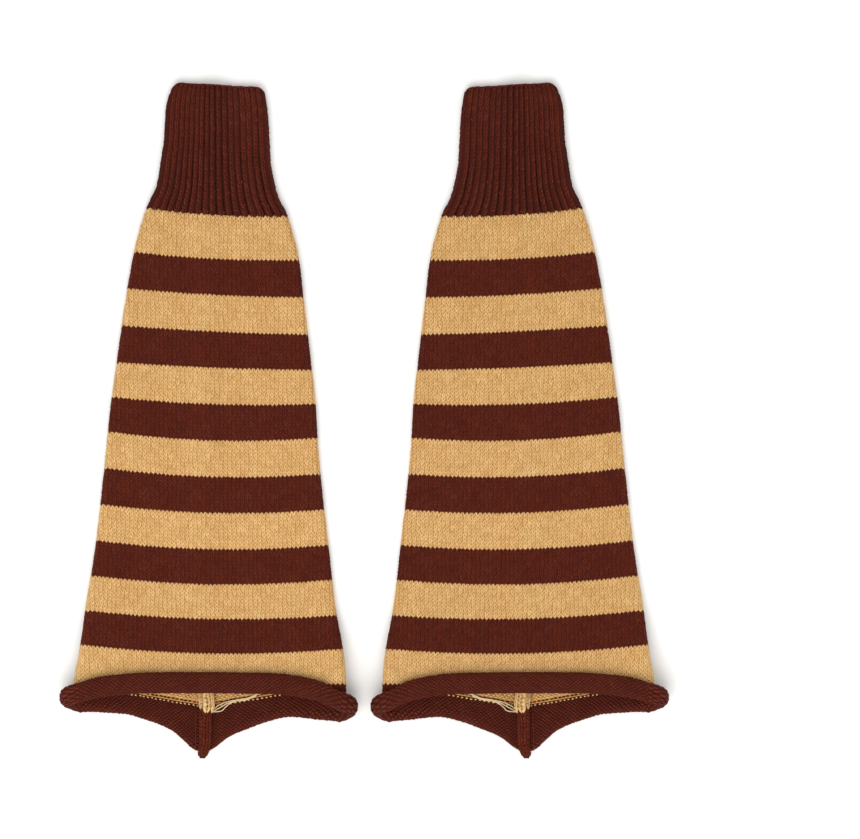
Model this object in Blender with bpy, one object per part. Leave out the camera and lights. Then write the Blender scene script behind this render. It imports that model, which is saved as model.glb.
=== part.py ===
"""A pair of knitted leg warmers laid flat: ribbed cuff, flared striped leg, curled hem and back seam.

Each leg is one knitted panel, folded along both sides and joined by a seam at the centre of the back.
It lies on its back on the XY plane, cuff towards +Y, front towards +Z, and the right leg mirrors the left.

Two coordinates follow the knitting of a leg:
  around  0 at the middle of the front, 1 at the right fold, 2 at the back seam, negative to the left
  down    distance along the knit from the edge of the cuff
"""

import math
from collections import namedtuple

import bmesh
import bpy
import numpy as np

MM = 0.001

# Driving sizes.
CUFF_EDGE = 230.6 * MM  # Y of the cuff's edge; the point of the hem lies as far below the origin
LEG_SPACING = 206.6 * MM  # between the axes of the two legs
WALL = 2.4 * MM  # thickness of the plain knit
BROWN = (0.085, 0.017, 0.01)  # linear RGB
TAN = (0.64, 0.38, 0.145)
YARN_ROUGHNESS = 0.95
PIECE_GAP = 0.3 * MM  # left between pieces that meet
EDGE_ROUND = 0.8 * MM  # how far a rounded edge of the wall stands out
CUFF_DEPTH = 90.0 * MM
FIRST_STRIPE = 29.3 * MM
STRIPE = 24.8 * MM
STRIPES = 13  # tan first and last, the last one partly under the rolled hem
HEM_BAND = 31.0 * MM  # brown band that curls
FOLD_SHARE = 0.06  # share of `around` on each side of 1 that turns round the fold

# The ribbed cuff.
RIBS_ACROSS = 17
RIB_INSIDE = 1.2 * MM  # plain inner face, from the middle of the wall
RIB_GROOVE = 0.5 * MM  # outer face between the ribs, from the middle of the wall
RIB_RISE = 1.1 * MM  # height of a rib over its grooves at the foot of the cuff
RIB_FADE = 0.35  # share of that height lost at the top edge
CREST_SHARE = 0.6  # width of a rib's crest against the spacing of the ribs
CORNER_WIDTH = 7.0 * MM  # how far in from the folds the top edge rounds off
CORNER_DROP = 6.0 * MM  # and how far down
CORNER_REACH = 26.0 * MM  # depth over which that rounding dies out
RIGHT_CORNER = 0.7  # how much of that rounding the right corner has

# How the two layers lie on each other.
LAYER_SPACING = 3.3 * MM  # between the middles of the two walls
FOLD_SPACING = 4.4 * MM  # the same at the side folds
FOLD_SPREAD = 0.4  # outer share of the half width over which the spacing grows to that
MOUTH_HEIGHT = 16.6 * MM  # middle of the front wall over the floor at the mouth
MOUTH_REACH = 88.0 * MM  # length over which the front rises to the mouth
LIFT_REACH = 52.0 * MM  # length over which the back rises onto the curled hem
CURL_SHRINK = 0.2  # share of its size that the curl loses in one turn

# The back seam inside the tube.
SEAM_HEIGHT = 2.5 * MM
SEAM_SIDES = 8
SEAM_SQUARENESS = 0.7  # 1 for an oval section, less for a flatter one
SEAM_REACH = 0.05  # in `around`, how far from the seam the ridge rests on the back
SEAM_DRIFT = -4.9 * MM  # sideways wander of the seam from cuff to hem
SEAM_LEAN = -0.2  # sideways lean of the tab that the seam ends in
SEAM_COVER = 15.0 * MM  # half width of the soft line it raises in the front

BODY_END = CUFF_DEPTH + FIRST_STRIPE + STRIPE * (STRIPES - 1)
KNIT_END = BODY_END + HEM_BAND

# Outline of one laid leg, in mm: depth below the cuff's edge, reach to the left and right of the axis.
Outline = namedtuple("Outline", "depth left right")
OUTLINE = (
    Outline(0, 28.5, 35.2),
    Outline(8, 31.0, 36.6),
    Outline(20, 32.6, 38.0),
    Outline(37, 33.3, 39.0),
    Outline(53, 35.3, 39.6),
    Outline(70, 37.9, 42.3),
    Outline(82, 43.0, 46.0),
    Outline(90, 46.5, 50.4),
    Outline(102, 50.3, 54.4),
    Outline(119, 54.4, 58.7),
    Outline(151, 59.9, 62.6),
    Outline(184, 64.6, 66.4),
    Outline(223, 70.0, 70.6),
    Outline(249, 72.6, 72.0),
    Outline(315, 79.9, 79.0),
    Outline(360, 86.8, 84.2),
    Outline(380, 89.2, 88.0),
    Outline(395, 91.6, 90.4),
    Outline(412, 94.4, 91.4),
)

# Lines of the knitting, in mm: place along the knit, its depth as laid at the middle of the front, how much
# higher the left end lies than the right, how much higher the ends lie than the middle, and how far the
# same row dips on the back, from the folds to the seam.
KnitLine = namedtuple("KnitLine", "down depth tilt sag dip")
KNIT_LINES = (
    KnitLine(0, 2.2, 1.7, 0.0, 0.0),
    KnitLine(45, 46.0, 2.2, 0.8, 3.0),
    KnitLine(90, 90.8, 2.6, 1.6, 9.0),
    KnitLine(119.3, 120.1, 2.6, 1.6, 12.5),
    KnitLine(144.1, 144.8, 2.9, 1.3, 14.0),
    KnitLine(168.9, 169.6, 2.9, 0.8, 15.0),
    KnitLine(193.7, 194.3, 2.5, 0.9, 15.8),
    KnitLine(218.5, 219.1, 2.3, 2.3, 16.5),
    KnitLine(243.3, 243.9, 2.1, 3.6, 17.0),
    KnitLine(268.1, 268.5, 2.0, 3.6, 17.5),
    KnitLine(317.7, 317.8, 1.5, 4.1, 17.5),
    KnitLine(342.5, 341.9, 1.4, 4.3, 17.0),
    KnitLine(367.3, 365.1, 1.6, 3.7, 16.8),
    KnitLine(392.1, 388.4, 1.4, 4.2, 16.5),
    KnitLine(416.9, 410.2, 0.0, 1.4, 16.0),
)

# The curled hem from the middle of the front (0) past the fold (1) to the seam (2): depth of the curl's
# centre line on the left and right in mm, its turn in degrees, and in mm its half width along the knit and
# its half height on the left and right.
HemRow = namedtuple("HemRow", "around left right turn half_width left_height right_height")
HEM = (
    HemRow(0.00, 407.0, 407.0, 280, 6.8, 4.0, 4.0),
    HemRow(0.45, 407.4, 407.8, 280, 6.8, 4.0, 4.0),
    HemRow(0.75, 409.8, 411.8, 280, 6.7, 4.0, 4.0),
    HemRow(0.94, 414.4, 419.6, 280, 6.5, 4.3, 3.9),
    HemRow(1.00, 418.0, 424.0, 280, 6.5, 5.1, 4.3),
    HemRow(1.06, 421.6, 428.2, 280, 6.4, 4.5, 3.9),
    HemRow(1.20, 422.2, 427.4, 280, 6.2, 3.8, 3.3),
    HemRow(1.40, 423.5, 425.4, 280, 6.2, 3.6, 3.5),
    HemRow(1.55, 427.3, 428.2, 270, 6.1, 3.5, 3.5),
    HemRow(1.70, 432.6, 433.6, 230, 5.8, 3.2, 3.2),
    HemRow(1.80, 438.6, 437.9, 165, 5.2, 2.8, 2.8),
    HemRow(1.88, 446.4, 443.0, 115, 4.2, 2.3, 2.3),
    HemRow(1.94, 452.6, 450.0, 72, 3.0, 2.0, 2.0),
    HemRow(2.00, 454.2, 454.2, 62, 2.6, 2.0, 2.0),
)

# The back seam, in mm: place along the knit, width and height of the ridge, how far it runs past that place
# towards the point of the hem, and how far it sinks there.
SeamRow = namedtuple("SeamRow", "down width height past sink")
SEAM_ROWS = (
    SeamRow(3, 4.5, 1.6, 0, 0),
    SeamRow(5, 7.0, 2.0, 0, 0),
    SeamRow(45, 7.5, 2.1, 0, 0),
    SeamRow(90, 8.5, 2.3, 0, 0),
    SeamRow(140, 8.5, 2.4, 0, 0),
    SeamRow(205, 8.5, 2.4, 0, 0),
    SeamRow(270, 9.0, 2.4, 0, 0),
    SeamRow(330, 9.0, 2.5, 0, 0),
    SeamRow(365, 9.5, 2.6, 0, 0),
    SeamRow(390, 10.5, 2.9, 0, 0),
    SeamRow(405, 11.0, 3.3, 0, 0),
    SeamRow(416, 10.5, 3.4, 0, 0),
    SeamRow(424, 9.6, 3.2, 0, 0),
    SeamRow(434, 9.4, 3.1, 0, 0),
    SeamRow(442, 9.2, 3.1, 0, 0),
    SeamRow(442, 8.8, 3.1, 5, 0),
    SeamRow(442, 7.4, 2.8, 8.6, 0.4),
    SeamRow(442, 4.4, 1.8, 10.6, 0.8),
)

# Soft swells of the front layer, in mm: place across and down, half width, half length, lean and height.
# They die out over SWELL_FADE, the outer share of the half width.
SWELL_FADE = 0.25
Swell = namedtuple("Swell", "across down width length lean height")
SWELLS = (
    Swell(-34, 128, 15, 26, 0.15, 1.5),
    Swell(31, 124, 14, 22, -0.20, 1.3),
    Swell(-47, 226, 12, 60, 0.12, 1.2),
    Swell(44, 262, 13, 66, -0.10, 1.1),
    Swell(-20, 318, 14, 52, 0.05, 0.9),
    Swell(58, 366, 14, 38, -0.16, 1.5),
    Swell(-66, 352, 12, 44, 0.14, 1.3),
)

# Rows and columns of the meshes. Columns of the front are shares of the half width, those of the back are
# runs from the seam (0) to the fold (1), closer together over the seam.
CUFF_ROWS = tuple(depth * MM for depth in (8, 26, 48, 68, 80))
MOUTH_ROWS = (0.55, 0.25)  # in stripes above the end of the leg, under the last change of colour
FLAT_STEPS = 3  # rows of the hem band before it curls
CURL_STEPS = 9  # and round the curl
LEAST_FLAT_HEM = 3.9 * MM  # depth of those rows where the curl starts at once
FRONT_COLUMNS = (-1, -0.92, -0.8, -0.62, -0.44, -0.28, -0.15, -0.06)
FRONT_COLUMNS += tuple(-place for place in reversed(FRONT_COLUMNS))
BACK_COLUMNS = (0, 0.04, 0.09, 0.14, 0.19, 0.25, 0.32, 0.42, 0.56, 0.76, 1)
FOLD_STEPS = 6
FOLD_CREST = 0.7  # share of the fold, on each side of its middle, that keeps the height of a rib's crest
SHARP_EDGE = math.radians(50)
MERGE = 1e-7

# Small steps for reading the slope of the surface.
AROUND_STEP = 1e-3
DOWN_STEP = 0.1 * MM


def smooth_table(rows, key, column, unit=MM, key_unit=MM):
    """A function that reads one column of a table, with a smooth curve that never overshoots its rows."""
    at = np.array([getattr(row, key) for row in rows]) * key_unit
    value = np.array([getattr(row, column) for row in rows]) * unit
    step = np.diff(at)
    slope = np.diff(value) / step
    before, after = slope[:-1], slope[1:]
    same_way = before * after > 0
    tangent = np.concatenate([slope[:1], np.zeros(len(before)), slope[-1:]])
    tangent[1:-1][same_way] = (2 * before * after)[same_way] / (before + after)[same_way]

    def read(place):
        place = np.clip(place, at[0], at[-1])
        i = np.clip(np.searchsorted(at, place) - 1, 0, len(step) - 1)
        f = (place - at[i]) / step[i]
        start = (2 * f**3 - 3 * f**2 + 1) * value[i] + (f**3 - 2 * f**2 + f) * step[i] * tangent[i]
        end = (3 * f**2 - 2 * f**3) * value[i + 1] + (f**3 - f**2) * step[i] * tangent[i + 1]
        return start + end

    return read


reach_left = smooth_table(OUTLINE, "depth", "left")
reach_right = smooth_table(OUTLINE, "depth", "right")
line_depth = smooth_table(KNIT_LINES, "down", "depth")
line_tilt = smooth_table(KNIT_LINES, "down", "tilt")
line_sag = smooth_table(KNIT_LINES, "down", "sag")
line_dip = smooth_table(KNIT_LINES, "down", "dip")
curl_left = smooth_table(HEM, "around", "left", key_unit=1)
curl_right = smooth_table(HEM, "around", "right", key_unit=1)
curl_turn = smooth_table(HEM, "around", "turn", unit=math.radians(1), key_unit=1)
curl_half_width = smooth_table(HEM, "around", "half_width", key_unit=1)
left_half_height = smooth_table(HEM, "around", "left_height", key_unit=1)
right_half_height = smooth_table(HEM, "around", "right_height", key_unit=1)


def ease(value):
    """0 up to 0, 1 from 1 on, and smooth between."""
    value = np.clip(value, 0, 1)
    return value * value * (3 - 2 * value)


def curl_half_height(around):
    return np.where(around < 0, left_half_height(np.abs(around)), right_half_height(np.abs(around)))


def back_height(side, run, down):
    """Middle of the back wall over the floor: flat, but carried on the curled hem near the mouth."""
    around = side * (2 - run * (1 - FOLD_SHARE))
    turn = np.minimum(curl_turn(np.abs(around)), math.pi)
    lift = curl_half_height(around) * (1 - np.cos(turn))
    return WALL / 2 + lift * ease(1 - (BODY_END - down) / LIFT_REACH)


def front_height(side, run, across, down):
    """Middle of the front wall over the floor: it lies on the back, covers the seam and gapes at the mouth."""
    spacing = LAYER_SPACING + (FOLD_SPACING - LAYER_SPACING) * ease((run - 1 + FOLD_SPREAD) / FOLD_SPREAD)
    cover = ease(1 - np.abs(across - SEAM_DRIFT * down / KNIT_END) / SEAM_COVER)
    height = WALL / 2 + spacing + (SEAM_HEIGHT + PIECE_GAP) * cover
    fade = ease((1 - run) / SWELL_FADE)
    for swell in SWELLS:
        along = (down / MM - swell.down) / swell.length
        beside = (across / MM - swell.across - swell.lean * (down / MM - swell.down)) / swell.width
        height = height + swell.height * MM * np.exp(-along**2 - beside**2) * fade
    mouth = ease(1 - (BODY_END - down) / MOUTH_REACH)
    return height + (MOUTH_HEIGHT - height) * mouth


def flat_layers(around, down):
    """Middle of the wall of the flattened tube, before the hem curls: x, y and z in the leg's own frame."""
    side = np.where(around < 0, -1.0, 1.0)
    turned = np.clip((np.abs(around) - (1 - FOLD_SHARE)) / (2 * FOLD_SHARE), 0, 1)
    run = np.clip(np.minimum(np.abs(around), 2 - np.abs(around)) / (1 - FOLD_SHARE), 0, 1)
    knitted = np.minimum(down, BODY_END)
    beyond = down - knitted

    middle = line_depth(knitted)
    fold_depth = middle + side * line_tilt(knitted) - line_sag(knitted)
    front_depth = middle + side * line_tilt(knitted) * run - line_sag(knitted) * run**2
    seam_depth = middle - line_sag(knitted) + line_dip(knitted)
    back_depth = seam_depth + (fold_depth - seam_depth) * run

    reach = np.where(side < 0, reach_left(fold_depth), reach_right(fold_depth)) - WALL / 2
    low_fold = back_height(side, np.ones_like(run), down)
    high_fold = front_height(side, np.ones_like(run), reach, down)
    half = (high_fold - low_fold) / 2
    across = side * ((reach - half) * run + half * np.sin(math.pi * turned))
    size = np.where(side < 0, 1, RIGHT_CORNER)
    into_corner = np.clip(1 - (reach - np.abs(across)) / (CORNER_WIDTH * size), 0, 1)
    corner = CORNER_DROP * size * (1 - np.sqrt(1 - into_corner**2)) * ease(1 - down / CORNER_REACH)
    depth = np.where(turned < 1, front_depth, back_depth) + corner + beyond
    fold_height = low_fold + half * (1 + np.cos(math.pi * turned))
    height = np.where(turned >= 1, back_height(side, run, down), fold_height)
    height = np.where(turned <= 0, front_height(side, run, across, down), height)
    drift = SEAM_DRIFT * (down / KNIT_END) * (1 - run) * turned
    return np.stack([across + drift, CUFF_EDGE - depth, height], axis=-1)


def wrapped(around):
    """The same place on the tube, within -2 to 2."""
    return (around + 2) % 4 - 2


def unit(vector):
    return vector / np.linalg.norm(vector, axis=-1, keepdims=True)


def outward(surface, around, down):
    """Unit normal of a surface of the knit, away from the inside of the tube."""
    across = surface(wrapped(around + AROUND_STEP), down) - surface(wrapped(around - AROUND_STEP), down)
    along = surface(around, down + DOWN_STEP) - surface(around, down - DOWN_STEP)
    return unit(np.cross(along, across))


def curl_start(around):
    """Place down the knit where the hem leaves its layer and starts to curl."""
    line = np.where(around < 0, curl_left(np.abs(around)), curl_right(np.abs(around)))
    body_depth = CUFF_EDGE - flat_layers(around, np.full_like(around, BODY_END))[..., 1]
    return BODY_END + line - body_depth


def laid(around, down):
    """Middle of the wall anywhere on the leg, with the hem curled outwards."""
    around, down = np.broadcast_arrays(np.asarray(around, float), np.asarray(down, float))
    start = curl_start(around)
    flat = flat_layers(around, np.minimum(down, start))
    along = unit(flat_layers(around, start + DOWN_STEP) - flat_layers(around, start - DOWN_STEP))
    away = outward(flat_layers, around, start)
    share = np.clip((down - start) / (KNIT_END - start), 0, None)
    angle = curl_turn(np.abs(around)) * share
    size = 1 - CURL_SHRINK * angle / (2 * math.pi)
    forward = curl_half_width(np.abs(around)) * size * np.sin(angle)
    upward = curl_half_height(around) * (1 - size * np.cos(angle))
    return flat + along * forward[..., None] + away * upward[..., None]


def material(name, colour):
    """Matt knitted yarn."""
    made = bpy.data.materials.new(name)
    made.use_nodes = True
    shader = made.node_tree.nodes["Principled BSDF"]
    shader.inputs["Base Color"].default_value = (*colour, 1)
    shader.inputs["Roughness"].default_value = YARN_ROUGHNESS
    return made


def knit_wall(around, rows, outer, inner, soft_start=False, soft_end=False, paint=None):
    """A closed wall round the tube: its outer face down `rows`, its inner face back up, joined at the ends.

    Each row gives `down` for every place in `around`. outer and inner give the height of each face over
    the middle of the wall. A soft start or end gives the first or last row a rounded edge. paint gives the
    material of each strip of the mesh.
    """
    rings = []
    for face, face_rows in ((outer, rows), (inner, rows[::-1])):
        for row in face_rows:
            rings.append(laid(around, row) + outward(laid, around, row) * face(around, row)[:, None])
        edge, soft, way = (rows[-1], soft_end, 1) if face is outer else (rows[0], soft_start, -1)
        if soft:
            along = unit(laid(around, edge + DOWN_STEP) - laid(around, edge - DOWN_STEP))
            rings.append(laid(around, edge) + way * EDGE_ROUND * along)
    return grid_mesh(np.stack(rings), rows_meet=True, paint=paint)


def grid_mesh(rings, rows_meet, paint=None):
    """A bmesh grid laid over rings of points and merged where it meets itself, at its poles too."""
    rings = np.concatenate([rings, rings[:, :1]], axis=1)
    if rows_meet:
        rings = np.concatenate([rings, rings[:1]])
    rows, columns = rings.shape[0] - 1, rings.shape[1] - 1
    bm = bmesh.new()
    bmesh.ops.create_grid(bm, x_segments=columns, y_segments=rows, size=1)
    if paint:
        for face in bm.faces:
            face.material_index = paint[int((face.calc_center_median().y + 1) / 2 * rows)]
    for vert in bm.verts:
        column = round((vert.co.x + 1) / 2 * columns)
        row = round((vert.co.y + 1) / 2 * rows)
        vert.co = rings[row, column]
    bmesh.ops.remove_doubles(bm, verts=bm.verts, dist=MERGE)
    return bm


def add_piece(name, bm, mirrored, materials, parent, collection):
    """An object of the mesh; the right leg's pieces are the left leg's, mirrored."""
    if mirrored:
        bmesh.ops.scale(bm, vec=(-1, 1, 1), verts=bm.verts)
    bmesh.ops.recalc_face_normals(bm, faces=bm.faces)
    mesh = bpy.data.meshes.new(name)
    bm.to_mesh(mesh)
    bm.free()
    mesh.shade_smooth()
    mesh.set_sharp_from_angle(angle=SHARP_EDGE)
    piece = bpy.data.objects.new(name, mesh)
    for made in materials:
        mesh.materials.append(made)
    collection.objects.link(piece)
    piece.parent = parent
    return piece


def round_the_tube(front):
    """All columns from the seam over the left fold, the front and the right fold, back to the seam."""
    flat = 1 - FOLD_SHARE
    fold = [flat + 2 * FOLD_SHARE * turn / FOLD_STEPS for turn in range(1, FOLD_STEPS)]
    back = [2 - flat * run for run in reversed(BACK_COLUMNS)]
    right = fold + back
    left = [-place for place in reversed(right)]
    return np.array(left + [flat * place for place in front] + right[:-1])


def rib_columns():
    """Places across the front for the ribs, three to a rib, and whether each lies on a crest."""
    places, crests = [], []
    pitch = 2 / RIBS_ACROSS
    for rib in range(RIBS_ACROSS):
        centre = -1 + (rib + 0.5) * pitch
        places += [centre - CREST_SHARE * pitch / 2, centre + CREST_SHARE * pitch / 2]
        crests += [True, True]
        if rib < RIBS_ACROSS - 1:
            places.append(centre + pitch / 2)
            crests.append(False)
    return places, crests


def ribbed_cuff():
    places, crests = rib_columns()
    around = round_the_tube([-1.0] + places + [1.0])
    on_front = np.abs(around) < 1 - FOLD_SHARE
    crest = np.zeros(len(around))
    crest[on_front] = crests
    past_fold = np.abs(around) - 1
    crest[np.abs(past_fold) <= FOLD_SHARE * FOLD_CREST] = 1
    flat_back = past_fold >= FOLD_SHARE * FOLD_CREST

    def outer(_, down):
        fade = 1 - RIB_FADE * ease(1 - down / CUFF_DEPTH)
        raised = RIB_GROOVE + RIB_RISE * fade * crest
        return np.where(flat_back, WALL / 2, raised)

    def inner(_, down):
        return np.full_like(down, -RIB_INSIDE)

    places = (EDGE_ROUND, *CUFF_ROWS, CUFF_DEPTH - PIECE_GAP / 2)
    rows = [np.full_like(around, down) for down in places]
    return knit_wall(around, rows, outer, inner, soft_start=True)


def half_wall(_, down):
    return np.full_like(down, WALL / 2)


def minus_half_wall(_, down):
    return np.full_like(down, -WALL / 2)


def striped_leg():
    """One closed wall; a row of its mesh lies on each change of colour."""
    around = round_the_tube(FRONT_COLUMNS)
    lines = [CUFF_DEPTH + FIRST_STRIPE + STRIPE * i for i in range(STRIPES - 1)]
    mouth = [BODY_END - STRIPE * share for share in MOUTH_ROWS]
    places = (CUFF_DEPTH + PIECE_GAP / 2, *lines, *mouth, BODY_END - PIECE_GAP / 2)
    rows = [np.full_like(around, down) for down in places]
    stripe_of_row = [min(row, STRIPES - 1) % 2 for row in range(len(rows) - 1)]
    paint = stripe_of_row + [0] + stripe_of_row[::-1] + [0]
    return knit_wall(around, rows, half_wall, minus_half_wall, paint=paint)


def rolled_hem():
    """The brown band: a few rows up to where it starts to curl, the rest evenly round the curl."""
    around = round_the_tube(FRONT_COLUMNS)
    top = BODY_END + PIECE_GAP / 2
    knee = np.maximum(curl_start(around), top + LEAST_FLAT_HEM)
    rows = [top + (knee - top) * step / FLAT_STEPS for step in range(FLAT_STEPS)]
    rows += [knee + (KNIT_END - knee) * step / CURL_STEPS for step in range(CURL_STEPS + 1)]
    return knit_wall(around, rows, half_wall, minus_half_wall, soft_end=True)


def back_seam():
    """The two turned-in edges of the panel: a soft, flat rod on the inner face of the back."""
    corners = np.arange(SEAM_SIDES) / SEAM_SIDES * 2 * math.pi + math.pi / SEAM_SIDES
    round_x = np.sign(np.cos(corners)) * np.abs(np.cos(corners)) ** SEAM_SQUARENESS
    round_z = np.sign(np.sin(corners)) * np.abs(np.sin(corners)) ** SEAM_SQUARENESS
    rings = []
    for row in SEAM_ROWS:
        near = laid(np.array([2 - SEAM_REACH, 2.0, SEAM_REACH - 2]), row.down * MM)
        floor = near[:, 2].max() + WALL / 2 + PIECE_GAP
        ring = np.empty((SEAM_SIDES, 3))
        ring[:, 0] = near[1, 0] + round_x * row.width * MM / 2 + SEAM_LEAN * row.past * MM
        ring[:, 1] = near[1, 1] - row.past * MM
        ring[:, 2] = floor + row.height * MM / 2 + round_z * row.height * MM / 2 - row.sink * MM
        rings.append(ring)
    ends = [ring.mean(axis=0, keepdims=True).repeat(SEAM_SIDES, axis=0) for ring in (rings[0], rings[-1])]
    return grid_mesh(np.stack([ends[0], *rings, ends[1]]), rows_meet=False)


def main():
    for old in list(bpy.data.objects):
        bpy.data.objects.remove(old, do_unlink=True)
    collection = bpy.data.collections.new("LegWarmers")
    bpy.context.scene.collection.children.link(collection)
    brown = material("BrownKnit", BROWN)
    tan = material("TanKnit", TAN)
    for name, side in (("left", -1), ("right", 1)):
        leg = bpy.data.objects.new(f"{name}_leg_axis", None)
        leg.location.x = side * LEG_SPACING / 2
        collection.objects.link(leg)
        mirrored = side > 0
        add_piece(f"{name}_rib_cuff", ribbed_cuff(), mirrored, [brown], leg, collection)
        add_piece(f"{name}_striped_leg", striped_leg(), mirrored, [tan, brown], leg, collection)
        add_piece(f"{name}_rolled_hem", rolled_hem(), mirrored, [brown], leg, collection)
        add_piece(f"{name}_back_seam", back_seam(), mirrored, [brown], leg, collection)


main()
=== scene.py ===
"""A pair of knitted leg warmers laid flat on a pale table, in wide tan and dark brown stripes.

The cloth of a leg is described by two coordinates of its knitting:
  around  0 at the middle of the front, 1 at the right fold, 2 at the back seam, negative to the left
  down    distance along the knit from the edge of the cuff
Each piece is made flat, stitch by stitch, then laid where those coordinates lie.
The right leg mirrors the left.
"""

import math
from collections import namedtuple

import bmesh
import bpy
import numpy as np
from mathutils import Matrix, Vector


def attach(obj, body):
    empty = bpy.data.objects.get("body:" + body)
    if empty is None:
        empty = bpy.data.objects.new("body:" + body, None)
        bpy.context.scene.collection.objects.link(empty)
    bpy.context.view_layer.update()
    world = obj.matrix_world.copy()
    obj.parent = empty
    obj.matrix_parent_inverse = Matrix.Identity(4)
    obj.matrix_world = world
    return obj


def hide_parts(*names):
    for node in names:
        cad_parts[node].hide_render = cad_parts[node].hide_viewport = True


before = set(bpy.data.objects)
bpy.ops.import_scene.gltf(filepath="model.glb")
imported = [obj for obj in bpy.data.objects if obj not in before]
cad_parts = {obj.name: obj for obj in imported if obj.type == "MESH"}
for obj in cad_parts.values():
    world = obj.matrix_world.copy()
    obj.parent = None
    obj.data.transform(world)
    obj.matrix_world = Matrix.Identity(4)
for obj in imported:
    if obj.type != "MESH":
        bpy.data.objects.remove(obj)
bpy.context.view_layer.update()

# ---- Camera. The pair was photographed as it lay, from straight above and from so far off that nothing
# leans. The length of a leg in the picture, beside its real one, says how much a pixel spans.
MM = 0.001
IMAGE_WIDTH = 860
MM_PER_PIXEL = 0.6815
PAIR_MIDDLE_PIXEL = (364.6, 420.4)  # where the middle of the pair lies in the picture
PICTURE_MIDDLE = (430.0, 419.5)
CAMERA_HEIGHT = 2.2  # in metres, over the table
SENSOR = 36.0  # width in mm

camera_data = bpy.data.cameras.new("Camera")
camera = bpy.data.objects.new("Camera", camera_data)
bpy.context.scene.collection.objects.link(camera)
camera.location = (
    (PICTURE_MIDDLE[0] - PAIR_MIDDLE_PIXEL[0]) * MM_PER_PIXEL * MM,
    (PAIR_MIDDLE_PIXEL[1] - PICTURE_MIDDLE[1]) * MM_PER_PIXEL * MM,
    CAMERA_HEIGHT,
)
camera_data.sensor_width = SENSOR
camera_data.lens = SENSOR * CAMERA_HEIGHT / (IMAGE_WIDTH * MM_PER_PIXEL * MM)
bpy.context.scene.camera = camera
bpy.context.scene.view_settings.view_transform = "Standard"

# ---- Striped leg. One panel of plain knitting in acrylic yarn, seven tan and six brown stripes, folded
# along both sides. Its cloth is the ground that the stitches stand on: it gives the wall its thickness and
# shows only as the painted shade between stitches and, unseen, inside the tube.
LEG_SPACING = 206.6 * MM  # from the axis of one leg to that of the other
CUFF_EDGE = 230.6 * MM  # from the middle of the pair up to the edge of the cuffs
WALL = 2.4 * MM  # thickness of the knitting
CUFF_DEPTH = 90.0 * MM
FIRST_STRIPE = 29.3 * MM  # the stripe under the cuff is longer than the others
STRIPE = 24.8 * MM
STRIPES = 13
HEM_BAND = 31.0 * MM
BODY_END = CUFF_DEPTH + FIRST_STRIPE + STRIPE * (STRIPES - 1)
KNIT_END = BODY_END + HEM_BAND
FOLD_SHARE = 0.06  # how far a fold reaches round the tube to either side of its middle
CORNER_WIDTH = 7.0 * MM  # the corners of the cuff hang down a little, the right one less
CORNER_DROP = 6.0 * MM
CORNER_REACH = 26.0 * MM
RIGHT_CORNER = 0.7
LAYER_SPACING = 3.3 * MM  # from the middle of the back's wall to the middle of the front's
FOLD_SPACING = 4.4 * MM  # the same at the folds, from where it narrows over FOLD_SPREAD of the width
FOLD_SPREAD = 0.4
MOUTH_HEIGHT = 16.6 * MM  # of the front over the table, where the mouth gapes
MOUTH_REACH = 88.0 * MM  # how far up the leg the front rises towards its mouth
LIFT_REACH = 52.0 * MM  # how far up the leg the roll lifts the back
CURL_SHRINK = 0.2  # how much smaller the curl gets over a full turn
CURL_ZONE = 12.0 * MM  # no part of the hem starts to curl further above the end of the leg
SEAM_HEIGHT = 2.5 * MM
SEAM_DRIFT = -4.9 * MM  # how far the back seam strays sideways by the end of the knit
SEAM_COVER = 15.0 * MM  # half width of the swell that the seam raises in the front
PIECE_GAP = 0.3 * MM
SWELL_FADE = 0.25  # share of the width beside a fold where swells and creases die away
AROUND_STEP = 1e-3  # steps over which the slope of the cloth is taken
DOWN_STEP = 0.1 * MM

# Reach of the laid leg to either side of its axis, by depth under the edge of the cuff, in mm.
Outline = namedtuple("Outline", "depth left right")
OUTLINE = [Outline(*row) for row in (
    (0, 28.5, 35.2), (8, 31.0, 36.6), (20, 32.6, 38.0), (37, 33.3, 39.0), (53, 35.3, 39.6),
    (70, 37.9, 42.3), (82, 43.0, 46.0), (90, 46.5, 50.4), (102, 50.3, 54.4), (119, 54.4, 58.7),
    (151, 59.9, 62.6), (184, 64.6, 66.4), (223, 70.0, 70.6), (249, 72.6, 72.0), (315, 79.9, 79.0),
    (360, 86.8, 84.2), (380, 89.2, 88.0), (395, 91.6, 90.4), (412, 94.4, 91.4),
)]

# How a course lies, in mm: its place down the knit, its depth at the middle of the front, how far it tilts
# and sags towards the folds, and how far it dips from there to the back seam.
KnitLine = namedtuple("KnitLine", "down depth tilt sag dip")
KNIT_LINES = [KnitLine(*row) for row in (
    (0, 2.2, 1.7, 0.0, 0.0), (45, 46.0, 2.2, 0.8, 3.0), (90, 90.8, 2.6, 1.6, 9.0),
    (119.3, 120.1, 2.6, 1.6, 12.5), (144.1, 144.8, 2.9, 1.3, 14.0), (168.9, 169.6, 2.9, 0.8, 15.0),
    (193.7, 194.3, 2.5, 0.9, 15.8), (218.5, 219.1, 2.3, 2.3, 16.5), (243.3, 243.9, 2.1, 3.6, 17.0),
    (268.1, 268.5, 2.0, 3.6, 17.5), (317.7, 317.8, 1.5, 4.1, 17.5), (342.5, 341.9, 1.4, 4.3, 17.0),
    (367.3, 365.1, 1.6, 3.7, 16.8), (392.1, 388.4, 1.4, 4.2, 16.5), (416.9, 410.2, 0.0, 1.4, 16.0),
)]

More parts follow.
